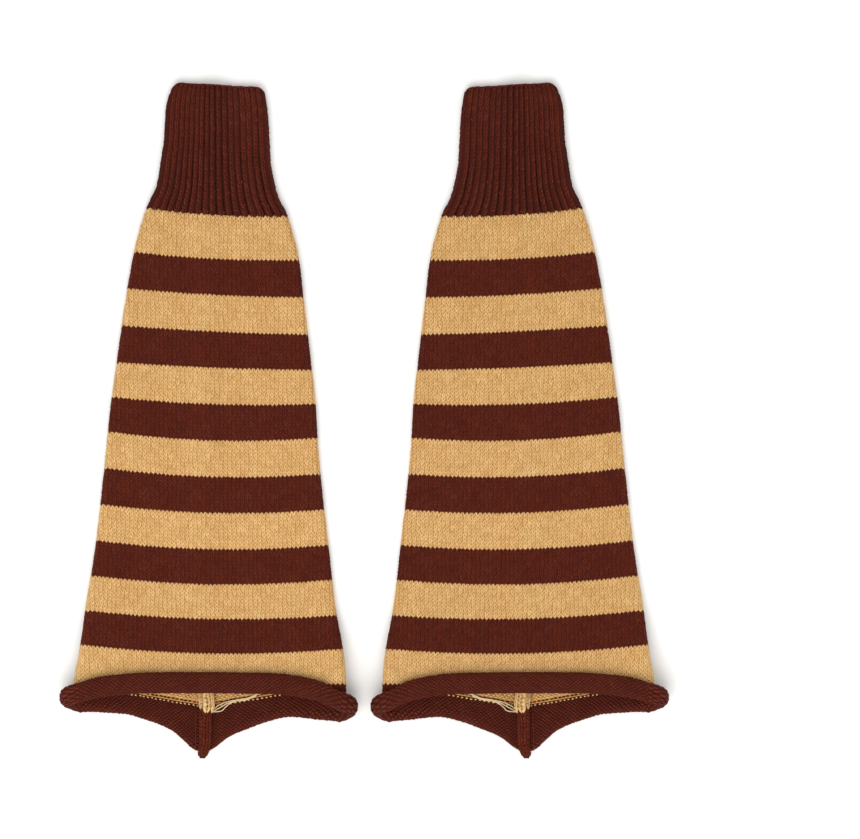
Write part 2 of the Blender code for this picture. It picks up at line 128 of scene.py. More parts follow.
# The roll by place round the tube: depth where it starts on the left and on the right of the leg, its turn
# in degrees, half its width, and half its height on the left and on the right.
HemRow = namedtuple("HemRow", "around left right turn half_width left_height right_height")
HEM = [HemRow(*row) for row in (
    (0.00, 407.0, 407.0, 280, 6.8, 4.0, 4.0), (0.45, 407.4, 407.8, 280, 6.8, 4.0, 4.0),
    (0.75, 409.8, 411.8, 280, 6.7, 4.0, 4.0), (0.94, 414.4, 419.6, 280, 6.5, 4.3, 3.9),
    (1.00, 418.0, 424.0, 280, 6.5, 5.1, 4.3), (1.06, 421.6, 428.2, 280, 6.4, 4.5, 3.9),
    (1.20, 422.2, 427.4, 280, 6.2, 3.8, 3.3), (1.40, 423.5, 425.4, 280, 6.2, 3.6, 3.5),
    (1.55, 427.3, 428.2, 270, 6.1, 3.5, 3.5), (1.70, 432.6, 433.6, 230, 5.8, 3.2, 3.2),
    (1.80, 438.6, 437.9, 165, 5.2, 2.8, 2.8), (1.88, 446.4, 443.0, 115, 4.2, 2.3, 2.3),
    (1.94, 452.6, 450.0, 72, 3.0, 2.0, 2.0), (2.00, 454.2, 454.2, 62, 2.6, 2.0, 2.0),
)]

# Swells and creases of the cloth, in mm: place across and down, half width, half length, lean and height.
Swell = namedtuple("Swell", "across down width length lean height")
SWELLS = [Swell(*row) for row in (
    (-34, 128, 15, 26, 0.15, 1.5), (31, 124, 14, 22, -0.20, 1.3), (-47, 226, 12, 60, 0.12, 1.2),
    (44, 262, 13, 66, -0.10, 1.1), (-20, 318, 14, 52, 0.05, 0.9), (58, 366, 14, 38, -0.16, 1.5),
    (-66, 352, 12, 44, 0.14, 1.3),
)]
FRONT_CREASES = [Swell(*row) for row in (
    (-22, 106, 3.0, 17, 0.20, -0.45), (-9, 112, 3.4, 22, 0.10, 0.50), (12, 104, 2.8, 15, -0.15, -0.40),
    (25, 116, 3.6, 20, -0.25, -0.45), (-41, 138, 4.0, 26, 0.30, -0.40), (38, 150, 4.2, 30, -0.22, 0.60),
    (-30, 186, 4.5, 34, 0.15, 0.50), (8, 204, 5.0, 40, -0.05, -0.35), (47, 214, 4.2, 26, -0.30, -0.40),
    (-56, 262, 4.6, 30, 0.28, -0.40), (26, 288, 5.2, 44, -0.10, 0.55), (-8, 262, 4.8, 28, 0.10, -0.30),
    (64, 312, 4.4, 24, -0.26, -0.40), (-44, 328, 5.0, 34, 0.18, 0.60), (18, 352, 5.4, 30, -0.04, -0.35),
    (-72, 386, 4.6, 20, 0.24, -0.40),
)]
BACK_CREASES = [Swell(*row) for row in (
    (-30, 124, 3.6, 22, 0.20, 0.35), (26, 132, 3.8, 26, -0.22, 0.40), (-44, 190, 4.6, 36, 0.16, 0.40),
    (40, 226, 4.4, 30, -0.18, 0.35), (-36, 268, 5.2, 40, 0.12, 0.40), (58, 296, 4.8, 28, -0.24, 0.40),
    (-60, 330, 4.6, 26, 0.22, 0.35), (34, 348, 5.0, 32, -0.10, 0.40),
)]


def smooth_table(rows, key, column, unit=MM, key_unit=MM):
    """A function that reads one column of a table, with a smooth curve that never overshoots its rows."""
    at = np.array([getattr(row, key) for row in rows]) * key_unit
    value = np.array([getattr(row, column) for row in rows]) * unit
    step = np.diff(at)
    slope = np.diff(value) / step
    before, after = slope[:-1], slope[1:]
    same_way = before * after > 0
    tangent = np.concatenate([slope[:1], np.zeros(len(before)), slope[-1:]])
    tangent[1:-1][same_way] = (2 * before * after)[same_way] / (before + after)[same_way]

    def read(place):
        place = np.clip(place, at[0], at[-1])
        i = np.clip(np.searchsorted(at, place) - 1, 0, len(step) - 1)
        f = (place - at[i]) / step[i]
        start = (2 * f**3 - 3 * f**2 + 1) * value[i] + (f**3 - 2 * f**2 + f) * step[i] * tangent[i]
        end = (3 * f**2 - 2 * f**3) * value[i + 1] + (f**3 - f**2) * step[i] * tangent[i + 1]
        return start + end

    return read


reach_left, reach_right = (smooth_table(OUTLINE, "depth", side) for side in ("left", "right"))
line_depth, line_tilt, line_sag, line_dip = (
    smooth_table(KNIT_LINES, "down", column) for column in ("depth", "tilt", "sag", "dip")
)
curl_left, curl_right, curl_half_width, left_half_height, right_half_height = (
    smooth_table(HEM, "around", column, key_unit=1)
    for column in ("left", "right", "half_width", "left_height", "right_height")
)
curl_turn = smooth_table(HEM, "around", "turn", unit=math.radians(1), key_unit=1)


def ease(value):
    """0 up to 0, 1 from 1 on, and smooth between."""
    value = np.clip(value, 0, 1)
    return value * value * (3 - 2 * value)


def swelling(rows, across, down):
    """Height that a table of swells gives at each place of a layer."""
    height = 0.0
    for swell in rows:
        along = (down / MM - swell.down) / swell.length
        beside = (across / MM - swell.across - swell.lean * (down / MM - swell.down)) / swell.width
        height = height + swell.height * MM * np.exp(-along**2 - beside**2)
    return height


def curl_half_height(around):
    return np.where(around < 0, left_half_height(np.abs(around)), right_half_height(np.abs(around)))


def back_height(side, run, across, down):
    """Middle of the back wall over the table: flat, but carried on the curled hem near the mouth."""
    around = side * (2 - run * (1 - FOLD_SHARE))
    turn = np.minimum(curl_turn(np.abs(around)), math.pi)
    lift = curl_half_height(around) * (1 - np.cos(turn))
    creases = swelling(BACK_CREASES, across, down) * ease((1 - run) / SWELL_FADE)
    return WALL / 2 + creases + lift * ease(1 - (BODY_END - down) / LIFT_REACH)


def front_height(side, run, across, down):
    """Middle of the front wall over the table: it lies on the back and the seam, and gapes at the mouth."""
    spacing = LAYER_SPACING + (FOLD_SPACING - LAYER_SPACING) * ease((run - 1 + FOLD_SPREAD) / FOLD_SPREAD)
    cover = ease(1 - np.abs(across - SEAM_DRIFT * down / KNIT_END) / SEAM_COVER)
    height = WALL / 2 + spacing + (SEAM_HEIGHT + PIECE_GAP) * cover
    height = height + swelling(SWELLS + FRONT_CREASES, across, down) * ease((1 - run) / SWELL_FADE)
    mouth = ease(1 - (BODY_END - down) / MOUTH_REACH)
    return height + (MOUTH_HEIGHT - height) * mouth


def fold_place(side, down):
    """Of each side fold: how deep it lies, its reach from the axis, its lower height and its half height."""
    fold_depth = line_depth(down) + side * line_tilt(down) - line_sag(down)
    reach = np.where(side < 0, reach_left(fold_depth), reach_right(fold_depth)) - WALL / 2
    edge = np.ones_like(down)
    low = back_height(side, edge, reach, down)
    half = (front_height(side, edge, reach, down) - low) / 2
    return fold_depth, reach, low, half


def flat_layers(around, down):
    """Middle of the wall of the flattened tube, before the hem curls: x, y and z in the leg's own frame."""
    side = np.where(around < 0, -1.0, 1.0)
    turned = np.clip((np.abs(around) - (1 - FOLD_SHARE)) / (2 * FOLD_SHARE), 0, 1)
    run = np.clip(np.minimum(np.abs(around), 2 - np.abs(around)) / (1 - FOLD_SHARE), 0, 1)
    knitted = np.clip(down, 0, BODY_END)

    middle = line_depth(knitted)
    fold_depth, reach, low_fold, half = fold_place(side, knitted)
    front_depth = middle + side * line_tilt(knitted) * run - line_sag(knitted) * run**2
    seam_depth = middle - line_sag(knitted) + line_dip(knitted)
    back_depth = seam_depth + (fold_depth - seam_depth) * run
    across = side * ((reach - half) * run + half * np.sin(math.pi * turned))
    size = np.where(side < 0, 1, RIGHT_CORNER)
    into_corner = np.clip(1 - (reach - np.abs(across)) / (CORNER_WIDTH * size), 0, 1)
    corner = CORNER_DROP * size * (1 - np.sqrt(1 - into_corner**2)) * ease(1 - down / CORNER_REACH)
    depth = np.where(turned < 1, front_depth, back_depth) + corner + down - knitted
    height = low_fold + half * (1 + np.cos(math.pi * turned))
    height = np.where(turned >= 1, back_height(side, run, across, knitted), height)
    height = np.where(turned <= 0, front_height(side, run, across, knitted), height)
    drift = SEAM_DRIFT * (down / KNIT_END) * (1 - run) * turned
    return np.stack([across + drift, CUFF_EDGE - depth, height], axis=-1)


def unit(vector):
    return vector / np.linalg.norm(vector, axis=-1, keepdims=True)


def outward(surface, around, down):
    """Unit normal of a surface of the knit, away from the inside of the tube."""
    before, after = (around - AROUND_STEP + 2) % 4 - 2, (around + AROUND_STEP + 2) % 4 - 2
    across = surface(after, down) - surface(before, down)
    along = surface(around, down + DOWN_STEP) - surface(around, down - DOWN_STEP)
    return unit(np.cross(along, across))


def curl_start(around):
    """Place down the knit where the hem leaves its layer and starts to curl."""
    line = np.where(around < 0, curl_left(np.abs(around)), curl_right(np.abs(around)))
    body_depth = CUFF_EDGE - flat_layers(around, np.full_like(around, BODY_END))[..., 1]
    return BODY_END + line - body_depth


def curled(around, down):
    """Middle of the wall near the mouth, where the hem curls outwards."""
    start = curl_start(around)
    flat = flat_layers(around, np.minimum(down, start))
    along = unit(flat_layers(around, start + DOWN_STEP) - flat_layers(around, start - DOWN_STEP))
    away = outward(flat_layers, around, start)
    share = np.clip((down - start) / (KNIT_END - start), 0, None)
    angle = curl_turn(np.abs(around)) * share
    size = 1 - CURL_SHRINK * angle / (2 * math.pi)
    forward = curl_half_width(np.abs(around)) * size * np.sin(angle)
    upward = curl_half_height(around) * (1 - size * np.cos(angle))
    return flat + along * forward[..., None] + away * upward[..., None]


def laid(around, down):
    """Middle of the wall anywhere on the leg."""
    place = flat_layers(around, down)
    near_hem = down > BODY_END - CURL_ZONE
    if near_hem.any():
        place[near_hem] = curled(around[near_hem], down[near_hem])
    return place


def on_leg(around, down, height):
    """World place of a point of the left leg's cloth, at a height over the middle of the wall."""
    place = laid(around, down) + outward(laid, around, down) * height[..., None]
    return place - np.array([LEG_SPACING / 2, 0, 0])


def linear(hex_colour):
    """Linear RGBA of an sRGB hex colour."""
    channels = [int(hex_colour[i : i + 2], 16) / 255 for i in (1, 3, 5)]
    return (*(c / 12.92 if c <= 0.04045 else ((c + 0.055) / 1.055) ** 2.4 for c in channels), 1)


def add_node(tree, kind, settings=(), links=()):
    """A node with its properties and socket values set, and sockets of it linked to other nodes' outputs."""
    made = tree.nodes.new(kind)
    for name, value in dict(settings).items():
        if isinstance(name, int) or name in made.inputs:
            made.inputs[name].default_value = value
        else:
            setattr(made, name, value)
    for name, source in dict(links).items():
        tree.links.new(source, made.inputs[name])
    return made


YARN_ROUGHNESS = 0.92
YARN_SHINE = 0.15
FIBRE = 0.45 * MM  # spacing of the fuzz on spun acrylic, drawn coarser than it is, so that it shows
FUZZ_DETAIL = 3
FUZZ_DEPTH = 0.08 * MM
FUZZ_STRENGTH = 0.6
# The fuzz's pull towards the pale end is a painted highlight of lint catching the light.
FUZZ_HIGHLIGHT_SHARE = 0.5  # how far the fuzz moves the colour between its deep and its pale end
DYE_PATCH = 9.0 * MM  # size of the soft unevenness of the dye
DYE_DETAIL = 2
DYE_SHARE = 0.5  # how far that unevenness moves the colour
STITCH_TINT = 0.11  # how far single stitches differ in brightness
PURL_DEPTH = 0.5 * MM
PURL_STRENGTH = 0.7
PURL_DISORDER = 0.3


def yarn_material(name, pale, deep):
    """Spun acrylic yarn: matt and fuzzy, each stitch catching the light a little differently."""
    made = bpy.data.materials.new(name)
    made.use_nodes = True
    tree = made.node_tree
    shader = tree.nodes["Principled BSDF"]
    shader.inputs["Roughness"].default_value = YARN_ROUGHNESS
    shader.inputs["Specular IOR Level"].default_value = YARN_SHINE
    place = add_node(tree, "ShaderNodeTexCoord").outputs["Object"]
    fuzz = add_node(
        tree, "ShaderNodeTexNoise", {"Scale": 1 / FIBRE, "Detail": FUZZ_DETAIL}, {"Vector": place}
    ).outputs["Fac"]
    dye = add_node(
        tree, "ShaderNodeTexNoise", {"Scale": 1 / DYE_PATCH, "Detail": DYE_DETAIL}, {"Vector": place}
    ).outputs["Fac"]
    tint = add_node(tree, "ShaderNodeAttribute", {"attribute_name": "tint"}).outputs["Fac"]
    even = {"operation": "MULTIPLY_ADD", 1: DYE_SHARE, 2: -DYE_SHARE / 2}
    patch = add_node(tree, "ShaderNodeMath", even, {0: dye})
    by_stitch = {"operation": "MULTIPLY_ADD", 1: STITCH_TINT}
    spread = add_node(tree, "ShaderNodeMath", by_stitch, {0: tint, 2: patch.outputs[0]})
    # Painted highlight: the fuzz pulls the colour towards the pale end, where lint would catch the light.
    by_fuzz = {"operation": "MULTIPLY_ADD", 1: FUZZ_HIGHLIGHT_SHARE}
    lint = add_node(tree, "ShaderNodeMath", by_fuzz, {0: fuzz, 2: spread.outputs[0]})
    mix = add_node(tree, "ShaderNodeMix", {"data_type": "RGBA"}, {0: lint.outputs[0]})
    mix.inputs[6].default_value = linear(deep)
    mix.inputs[7].default_value = linear(pale)
    raised = {"Strength": FUZZ_STRENGTH, "Distance": FUZZ_DEPTH}
    bump = add_node(tree, "ShaderNodeBump", raised, {"Height": fuzz})
    tree.links.new(mix.outputs[2], shader.inputs["Base Color"])
    tree.links.new(bump.outputs["Normal"], shader.inputs["Normal"])
    return made


def painted_shade_ground_material(name, pale, deep):
    """The cloth between the stitches, in painted shade: purl bumps, one to a stitch, read from its own
    knitting map.
    """
    made = yarn_material(name, pale, deep)
    tree = made.node_tree
    shader = tree.nodes["Principled BSDF"]
    stitch = add_node(tree, "ShaderNodeUVMap", {"uv_map": "Knitting"}).outputs["UV"]
    one_a_stitch = {"Scale": 1.0, "Randomness": PURL_DISORDER}
    loops = add_node(tree, "ShaderNodeTexVoronoi", one_a_stitch, {"Vector": stitch}).outputs["Distance"]
    height = add_node(tree, "ShaderNodeMath", {"operation": "SUBTRACT", 0: 1.0}, {1: loops})
    raised = {"Strength": PURL_STRENGTH, "Distance": PURL_DEPTH}
    bump = add_node(tree, "ShaderNodeBump", raised, {"Height": height.outputs[0]})
    tree.links.new(bump.outputs["Normal"], shader.inputs["Normal"])
    return made


# Spun acrylic, knitted in two colours: matt, and paler where the lint on a strand catches the light, which
# is a painted highlight.
tan_yarn = yarn_material("TanAcrylicYarn", "#F0CF98", "#CEA569")
brown_yarn = yarn_material("BrownAcrylicYarn", "#70301B", "#541B0D")
# The same yarns deep down between the stitches, darker and redder: painted shade for how little light gets
# there.
tan_ground_painted_shade = painted_shade_ground_material("TanKnitGroundPaintedShade", "#C8985B", "#A67743")
brown_ground_painted_shade = painted_shade_ground_material("BrownKnitGroundPaintedShade", "#48190F", "#340F08")

ROWS_OF_LEG = 132  # courses: twelve in the first stripe and ten in each of the others
FIRST_ROWS = 12
STRIPE_ROWS = 10
COURSE = (BODY_END - CUFF_DEPTH) / ROWS_OF_LEG
WALE = 2.9 * MM
GROUND_TOP = 0.6 * MM  # height of the ground over the middle of the wall
GROUND_WALL = 1.5 * MM
FACE_ROWS = 2  # courses to a row of the ground's faces
SAME_PLACE = 1e-6  # points of the seam nearer than this are one
FOLD_STEPS = 8
BACK_STEPS = 26
FRONT_STEPS = 40


def around_columns():
    """Places round the tube, from the seam over the left fold, the front and the right fold to the seam."""
    flat = 1 - FOLD_SHARE
    front = np.linspace(-flat, flat, FRONT_STEPS + 1)
    fold = np.linspace(flat, 1 + FOLD_SHARE, FOLD_STEPS + 1)[1:-1]
    back = np.linspace(1 + FOLD_SHARE, 2, BACK_STEPS + 1)
    right = np.concatenate([fold, back])
    return np.concatenate([-right[::-1], front, right])


def half_girth(across, down):
    """Length of cloth from the middle of the front round the fold to the seam, and its stretches."""
    side = np.where(across < 0, -1.0, 1.0)
    _, reach, _, half = fold_place(side, np.minimum(down, BODY_END))
    return 2 * (reach - half) + math.pi * half, reach - half, math.pi * half


def around_of(across, down):
    """Place round the tube of a point so far across the panel from the middle of the front."""
    _, flat, fold = half_girth(across, down)
    way = np.abs(across)
    on_front = way / flat * (1 - FOLD_SHARE)
    on_fold = 1 - FOLD_SHARE + (way - flat) / fold * 2 * FOLD_SHARE
    on_back = 1 + FOLD_SHARE + (way - flat - fold) / flat * (1 - FOLD_SHARE)
    around = np.where(way < flat, on_front, np.where(way < flat + fold, on_fold, on_back))
    return np.where(across < 0, -1.0, 1.0) * np.minimum(around, 2)


def across_of(around, down):
    """Inverse of around_of."""
    _, flat, fold = half_girth(around, down)
    way = np.abs(around)
    on_front = way / (1 - FOLD_SHARE) * flat
    on_fold = flat + (way - 1 + FOLD_SHARE) / (2 * FOLD_SHARE) * fold
    on_back = flat + fold + (way - 1 - FOLD_SHARE) / (1 - FOLD_SHARE) * flat
    across = np.where(way < 1 - FOLD_SHARE, on_front, np.where(way < 1 + FOLD_SHARE, on_fold, on_back))
    return np.where(around < 0, -1.0, 1.0) * across


def stripe_of(row):
    """Stripe that a course belongs to, even for tan and odd for brown."""
    return np.where(row < FIRST_ROWS, 0, 1 + (row - FIRST_ROWS) // STRIPE_ROWS)


def new_object(name, bm, materials):
    mesh = bpy.data.meshes.new(name)
    bm.to_mesh(mesh)
    bm.free()
    mesh.shade_smooth()
    made = bpy.data.objects.new(name, mesh)
    for material in materials:
        mesh.materials.append(material)
    bpy.context.scene.collection.objects.link(made)
    return made


def mirrored(piece):
    """The right leg's copy of a piece of the left leg."""
    bm = bmesh.new()
    bm.from_mesh(piece.data)
    bmesh.ops.scale(bm, vec=(-1, 1, 1), verts=bm.verts)
    bmesh.ops.reverse_faces(bm, faces=bm.faces)
    made = new_object(piece.name.replace("left", "right"), bm, piece.data.materials)
    for old in piece.modifiers:
        new = made.modifiers.new(old.name, old.type)
        new.thickness = old.thickness
        new.offset = old.offset
    return made


def both_legs(piece, replaces=None):
    """Mirrors a finished piece for the right leg, and says of both what they ride on and replace."""
    for leg, made in (("left", piece), ("right", mirrored(piece))):
        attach(made, "root")
        if replaces:
            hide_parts(f"{leg}_{replaces}")


def tubes_of_cloth(name, columns, downs, height, wall, materials, replaces, paint=None):
    """A tube of ground cloth for each leg: a grid, a column to each place round it, joined along the seam.

    height gives its outer face over the middle of the wall, and paint the material of each row of the grid.
    """
    bm = bmesh.new()
    bmesh.ops.create_grid(bm, x_segments=len(columns) - 1, y_segments=len(downs) - 1, size=1)
    cell_x = np.array([round((v.co.x + 1) / 2 * (len(columns) - 1)) for v in bm.verts])
    cell_y = np.array([round((v.co.y + 1) / 2 * (len(downs) - 1)) for v in bm.verts])
    around, down = columns[cell_x], downs[cell_y]
    across = across_of(around, down)
    knitting = bm.loops.layers.uv.new("Knitting")
    places = on_leg(around, down, height(around, down))
    for face in bm.faces:
        if paint is not None:
            face.material_index = int(paint[min(cell_y[v.index] for v in face.verts)])
        for loop in face.loops:
            loop[knitting].uv = (across[loop.vert.index] / WALE, down[loop.vert.index] / COURSE)
    for vert, place in zip(bm.verts, places):
        vert.co = place
    bmesh.ops.remove_doubles(bm, verts=bm.verts, dist=SAME_PLACE)
    bmesh.ops.reverse_faces(bm, faces=bm.faces)  # as laid, the upper side of the grid faces into the tube
    made = new_object(f"left_{name}", bm, materials)
    inwards = made.modifiers.new("Wall", "SOLIDIFY")
    inwards.thickness = wall
    inwards.offset = -1
    both_legs(made, replaces)


tubes_of_cloth(
    "leg_knit",
    around_columns(),
    CUFF_DEPTH + COURSE * np.arange(0, ROWS_OF_LEG + 1, FACE_ROWS),
    lambda around, down: np.full_like(down, GROUND_TOP),
    GROUND_WALL,
    [tan_ground_painted_shade, brown_ground_painted_shade],
    replaces="striped_leg",
    paint=stripe_of(np.arange(0, ROWS_OF_LEG, FACE_ROWS)) % 2,
)

# ---- Stitches of the striped leg. Plain knitting shows a column of V shapes for each wale, two fat strands
# of yarn to a stitch. Where the colour changes the strands of one colour bite into the other, which gives
# every stripe its toothed edge.
SECTION_REACH = 0.75  # how far a three-sided strand of radius 1 reaches to each side
STRAND_BESIDE = 0.24  # from the middle of the stitch, in wales
STITCH_TILT = 0.24 * MM  # rise of a stitch over a course: its point lies over the arms of the next one
UNEVEN_PLACE = 0.05  # how far stitches stray, in stitches
UNEVEN_SIZE = 0.08 * MM
UNEVEN_LIMITS = (-1.5, 0.5)  # stitches lie too deep more often than too high
TINT_LIMIT = 2
WALE_WANDER = 0.10  # sideways wander of a wale, in wales
WANDER_LENGTH = 21 * MM
WANDER_SHIFT = 0.7  # of one wale against the next
SEAM_MARGIN = 1.5 * MM

draw = np.random.default_rng(11)

# A strand in a stitch: half its width and length in wales and courses, the heights of its foot and of its
# ridge over the middle of the wall, and how far it leans.
Strand = namedtuple("Strand", "half_width half_length foot top lean sides", defaults=(3,))
LEG_STRAND = Strand(0.2, 0.93, 0.1 * MM, 1.25 * MM, math.radians(18))


def add_strand(bm, kind, place, side=1):
    """A short fat strand with tapered ends, along y but for its lean; side -1 leans it the other way."""
    made = bmesh.ops.create_uvsphere(bm, u_segments=kind.sides, v_segments=3, radius=1)["verts"]
    foot = math.cos(math.pi / kind.sides) if kind.sides % 2 else 1
    rise = kind.top - kind.foot
    lie_down = Matrix(((0, 1, 0, 0), (0, 0, 1, 0), (1, 0, 0, 0), (0, 0, 0, 1)))
    size = Matrix.Diagonal((kind.half_width / SECTION_REACH, kind.half_length, abs(rise) / (1 + foot), 1))
    turn = Matrix.Rotation(side * kind.lean, 4, "Z")
    over = Matrix.Rotation(0 if rise > 0 else math.pi, 4, "Y")
    lift = Matrix.Translation((*place, kind.foot + rise * foot / (1 + foot)))
    bmesh.ops.transform(bm, matrix=lift @ turn @ over @ size @ lie_down, verts=made)


def v_stitch(kind, beside):
    """Two strands that lean together, the face of a knit stitch."""
    bm = bmesh.new()
    for side in (-1, 1):
        add_strand(bm, kind, (side * beside, 0), side)
    return bm


def bumps(kind, *places):
    """Strands that all lie one way, such as the back of a stitch."""
    bm = bmesh.new()
    for place in places:
        add_strand(bm, kind, place)
    return bm


def knit_stitch():
    """One V, a wale wide and somewhat over a course long, pointing down the leg and rising to its point."""
    bm = v_stitch(LEG_STRAND, STRAND_BESIDE)
    for vert in bm.verts:
        vert.co.z += STITCH_TILT * vert.co.y
    return bm


def stitches(name, stitch, wales, rows, keep, place, material, slot):
    """Many stitches as one mesh for each leg: one repeated by two Array modifiers, thinned, then laid.

    keep(wale, row) says which stitches are there. place(x, y, z) gives the world places of points that are
    x wales and y courses from the middle of the first course, at a height z over the middle of the wall.
    """
    sample = new_object("sample", stitch, [])
    points = len(sample.data.vertices)
    for way, count in (((1, 0, 0), wales), ((0, 1, 0), rows)):
        array = sample.modifiers.new("Repeat", "ARRAY")
        array.use_relative_offset = False
        array.use_constant_offset = True
        array.constant_offset_displace = way
        array.count = count
    swatch = bpy.data.meshes.new_from_object(sample.evaluated_get(bpy.context.evaluated_depsgraph_get()))
    bpy.data.objects.remove(sample)

    number = np.arange(len(swatch.vertices)) // points
    wale, row = number % wales - (wales - 1) / 2, number // wales
    kept = keep(wale, row)
    bm = bmesh.new()
    bm.from_mesh(swatch)
    bpy.data.meshes.remove(swatch)
    bmesh.ops.delete(bm, geom=[v for v, stays in zip(bm.verts, kept) if not stays], context="VERTS")
    made = new_object(f"left_{name}", bm, [material])

    number = number[kept]
    stray = draw.normal(size=(wales * rows, 4))
    flat = np.empty(len(made.data.vertices) * 3)
    made.data.vertices.foreach_get("co", flat)
    x, y, z = flat.reshape(-1, 3).T
    x = x - (wales - 1) / 2 + UNEVEN_PLACE * stray[number, 0]
    y = y + UNEVEN_PLACE * stray[number, 1]
    z = z + UNEVEN_SIZE * np.clip(stray[number, 2], *UNEVEN_LIMITS) * np.sign(z)
    made.data.vertices.foreach_set("co", place(x, y, z).astype(np.float32).ravel())
    tint = made.data.attributes.new("tint", "FLOAT", "POINT")
    tint.data.foreach_set("value", np.clip(stray[number, 3], -TINT_LIMIT, TINT_LIMIT).astype(np.float32))
    made.data.update()
    both_legs(made)


def leg_place(x, y, z):
    down = CUFF_DEPTH + (y + 0.5) * COURSE
    wander = WALE_WANDER * np.sin(down / WANDER_LENGTH * 2 * math.pi + WANDER_SHIFT * np.round(x))
    return on_leg(around_of((x + wander) * WALE, down), down, z)


def clear_of_seam(wale, down):
    return np.abs(wale) * WALE < half_girth(wale, down)[0] - SEAM_MARGIN


def leg_keeps(colour):
    """Which stitches of the leg have a colour, 0 for tan and 1 for brown."""
    def keep(wale, row):
        return clear_of_seam(wale, CUFF_DEPTH + (row + 0.5) * COURSE) & (stripe_of(row) % 2 == colour)

    return keep


MOST_WALES = 133  # round the leg at its widest
for name, colour, yarn in (("tan_stitches", 0, tan_yarn), ("brown_stitches", 1, brown_yarn)):
    keep = leg_keeps(colour)
    stitches(name, knit_stitch(), MOST_WALES, ROWS_OF_LEG, keep, leg_place, yarn, "striped_knit")

# ---- Ribbed cuff. One knit and one purl in brown yarn, which pulls in to plump ribs with narrow grooves
# between them. They stand closer together towards the top, where the grooves are shallow.
RIBS_ACROSS = 17
RIB_GROOVE = -0.5 * MM  # height of the grooves over the middle of the wall
RIB_RISE = 1.6 * MM
RIB_FADE = 0.4  # how far the ribs flatten towards the top
GROOVE_FADE = 0.62  # how far the grooves fill up there, but for those at the middle
OPEN_RIBS = 1  # ribs to each side of the middle between which they stay open
FILLING_RIBS = 3  # ribs further on over which they fill up more and more
GROOVE_DEPTHS = (0.55, 1.25)  # no two are as deep
DEEPEST_GROOVE = 1.2
GROOVE_SHARE = 0.2  # half width of a groove, in ribs
RIB_PLACES = (-0.5, -0.43, -0.35, -0.27, -0.09, 0.09, 0.27, 0.35, 0.43)  # columns of a rib's mesh
CUFF_WALL = 0.7 * MM
CUFF_TOP = 0.6 * MM  # where the ribbed face starts, below the edge
CUFF_STEPS = 18
CUFF_ROWS = 33
CUFF_COURSE = CUFF_DEPTH / CUFF_ROWS
CUFF_MARGIN = 0.5 * MM
RIB_SINK = 0.25 * MM  # how far the stitches stand in the ribbed face
RIB_STRAND = Strand(0.2, 0.8, -0.2 * MM, 0.75 * MM, 0.16)
RIB_STRAND_BESIDE = 0.2
EDGE_STRAND = Strand(0.5, 0.36, -0.9 * MM, 0.9 * MM, math.pi / 2, sides=5)
EDGE_PLACES = ((-0.25, 0), (0.25, 0))
EDGE_REST = 0.7 * MM  # from the end of the knit to the middle of its edge
EDGE_FLATNESS = 0.6
EDGE_LIFT = -0.2 * MM
RIB_PITCH = 2 * (1 - FOLD_SHARE) / RIBS_ACROSS
RIBS_TO_FOLD = RIBS_ACROSS / 2
RIBS_TO_SEAM = RIBS_ACROSS + 1

groove_depth = draw.uniform(*GROOVE_DEPTHS, 2 * RIBS_TO_SEAM + 2)


def around_of_rib(rib):
    """Place round the tube of a rib, counted from the middle one; the one on each fold is the widest."""
    count = np.abs(rib)
    on_front = count * RIB_PITCH
    on_fold = 1 - FOLD_SHARE + (count - RIBS_TO_FOLD) * 2 * FOLD_SHARE
    on_back = 1 + FOLD_SHARE + (count - RIBS_TO_FOLD - 1) * RIB_PITCH
    around = np.where(count < RIBS_TO_FOLD, on_front, np.where(count < RIBS_TO_FOLD + 1, on_fold, on_back))
    return np.sign(rib) * np.minimum(around, 2)


def rib_height(rib, down):
    """Height of the ribbed face over the middle of the wall; no two grooves are quite as deep."""
    from_crest = np.abs(rib - np.round(rib))
    groove = ease((from_crest - 0.5 + GROOVE_SHARE) / GROOVE_SHARE)
    depth = groove_depth[(np.floor(rib) + RIBS_TO_SEAM).astype(int)]
    upper = ease(1 - down / CUFF_DEPTH)
    rise = RIB_RISE * (1 - RIB_FADE * upper)
    filled = GROOVE_FADE * upper * ease((np.abs(rib) - OPEN_RIBS) / FILLING_RIBS)
    return RIB_GROOVE + rise * (1 - groove * np.clip(depth, 0, DEEPEST_GROOVE) * (1 - filled))


def rib_of_around(around):
    """Inverse of around_of_rib."""
    way = np.abs(around)
    on_fold = RIBS_TO_FOLD + (way - 1 + FOLD_SHARE) / (2 * FOLD_SHARE)
    on_back = RIBS_TO_FOLD + 1 + (way - 1 - FOLD_SHARE) / RIB_PITCH
    rib = np.where(way < 1 - FOLD_SHARE, way / RIB_PITCH, np.where(way < 1 + FOLD_SHARE, on_fold, on_back))
    return np.sign(around) * rib


# The purl wales of the ribbing, sunk between two ribs: the same brown acrylic, darker as painted deep shade.
groove_painted_shade = painted_shade_ground_material("GrooveOfRibbingPaintedShade", "#4A190F", "#361008")
ribs = range(-RIBS_TO_SEAM, RIBS_TO_SEAM + 1)
rib_places = np.array([rib + place for rib in ribs for place in RIB_PLACES])
rib_places = np.concatenate([[-RIBS_TO_SEAM], rib_places[np.abs(rib_places) < RIBS_TO_SEAM], [RIBS_TO_SEAM]])
tubes_of_cloth(
    "ribbing",
    around_of_rib(rib_places),
    np.linspace(CUFF_TOP, CUFF_DEPTH, CUFF_STEPS + 1),
    lambda around, down: rib_height(rib_of_around(around), down),
    CUFF_WALL,
    [groove_painted_shade],
    replaces="rib_cuff",
)


